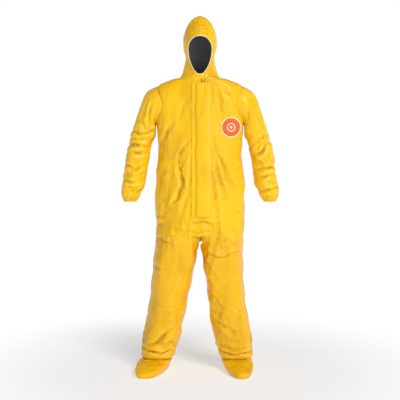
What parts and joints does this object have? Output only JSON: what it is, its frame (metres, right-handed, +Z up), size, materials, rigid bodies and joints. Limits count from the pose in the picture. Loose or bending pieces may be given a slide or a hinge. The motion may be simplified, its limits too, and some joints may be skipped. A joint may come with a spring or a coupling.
{
  "type": "chemical protective suit",
  "caption": "Hooded one-piece coverall of yellow coated film with elastic cuffs and face edge, storm flap over the zip, and attached socks.",
  "frame": {"origin": "middle of the suit's box, on the floor that the soles stand on", "axes": "+Z up from the soles to the hood, -Y the front with the zip, +X the wearer's left"},
  "size_m": [0.805, 0.3578, 1.8158],
  "materials": {
    "film": "satin coated film, creased",
    "flap_film": "satin coated film, doubled and creased",
    "seam_tape": "smooth heat-sealed tape",
    "lining": "dark matt inner face",
    "elastic": "pale gathered elastic",
    "zip_tape": "woven tape",
    "zip": "moulded plastic",
    "patch": "orange label cloth",
    "patch_rim": "cream stitched rim",
    "sole": "coated film, scuffed",
    "adhesive": "peel-off adhesive strip"
  },
  "bodies": {
    "suit_body": {"front_left_panel": "film", "front_right_panel": "film", "back_left_panel": "film", "back_right_panel": "film", "left_side_tape": "seam_tape", "right_side_tape": "seam_tape", "left_shoulder_tape": "seam_tape", "right_shoulder_tape": "seam_tape", "back_seam_tape": "seam_tape", "neckline_tape": "seam_tape", "left_armhole_binding": "seam_tape", "right_armhole_binding": "seam_tape", "chest_patch": "patch", "chest_patch_rim": "patch_rim", "left_leg_front": "film", "left_leg_back": "film", "left_leg_hem": "film", "left_leg_tape": "seam_tape", "left_sock_upper": "film", "left_sock_sole": "sole", "right_leg_front": "film", "right_leg_back": "film", "right_leg_hem": "film", "right_leg_tape": "seam_tape", "right_sock_upper": "film", "right_sock_sole": "sole", "zip_tape_left": "zip_tape", "zip_teeth_left": "zip", "zip_tape_right": "zip_tape", "zip_teeth_right": "zip", "zip_bottom_stop": "zip", "inner_flap": "film", "flap_seam_strip": "flap_film"},
    "storm_flap": {"storm_flap": "flap_film", "flap_adhesive_strip": "adhesive"},
    "zip_slider": {"zip_slider": "zip"},
    "zip_pull": {"zip_pull": "zip"},
    "hood": {"hood_left": "film", "hood_right": "film", "hood_lining": "lining", "face_hem": "film", "face_elastic": "elastic", "hood_seam_tape": "seam_tape"},
    "left_sleeve": {"left_upper_sleeve_front": "film", "left_upper_sleeve_back": "film", "left_elbow_fabric": "film"},
    "left_forearm": {"left_forearm_front": "film", "left_forearm_back": "film", "left_wrist_hem": "film", "left_wrist_elastic": "elastic"},
    "right_sleeve": {"right_upper_sleeve_front": "film", "right_upper_sleeve_back": "film", "right_elbow_fabric": "film"},
    "right_forearm": {"right_forearm_front": "film", "right_forearm_back": "film", "right_wrist_hem": "film", "right_wrist_elastic": "elastic"}
  },
  "joints": [
    {"name": "storm_flap_turn", "type": "hinge", "parent": "suit_body", "child": "storm_flap", "pos_m": [-0.021, -0.09848, 1.15037], "axis": [0, -0.0418, -0.9991], "range_deg": [0, 130]},
    {"name": "zip_slide", "type": "slide", "parent": "suit_body", "child": "zip_slider", "axis": [0, -0.0418, -0.9991], "range_m": [0, 0.66]},
    {"name": "zip_pull_swing", "type": "hinge", "parent": "zip_slider", "child": "zip_pull", "pos_m": [0.014, -0.08744, 1.49321], "axis": [-1, 0, 0], "range_deg": [0, 150]},
    {"name": "hood_fold", "type": "hinge", "parent": "suit_body", "child": "hood", "pos_m": [0, 0.12515, 1.503], "axis": [-1, 0, 0], "range_deg": [0, 95]},
    {"name": "left_shoulder_swing", "type": "hinge", "parent": "suit_body", "child": "left_sleeve", "pos_m": [0.223, 0.03715, 1.362], "axis": [-1, 0, 0], "range_deg": [-30, 90]},
    {"name": "left_elbow_bend", "type": "hinge", "parent": "left_sleeve", "child": "left_forearm", "pos_m": [0.3055, 0.04515, 1.165], "axis": [-0.9715, 0, -0.2368], "range_deg": [0, 70], "deforming": ["left_elbow_fabric"]},
    {"name": "right_shoulder_swing", "type": "hinge", "parent": "suit_body", "child": "right_sleeve", "pos_m": [-0.223, 0.03715, 1.362], "axis": [-1, 0, 0], "range_deg": [-30, 90]},
    {"name": "right_elbow_bend", "type": "hinge", "parent": "right_sleeve", "child": "right_forearm", "pos_m": [-0.3055, 0.04515, 1.165], "axis": [-0.9715, 0, 0.2368], "range_deg": [0, 70], "deforming": ["right_elbow_fabric"]}
  ]
}
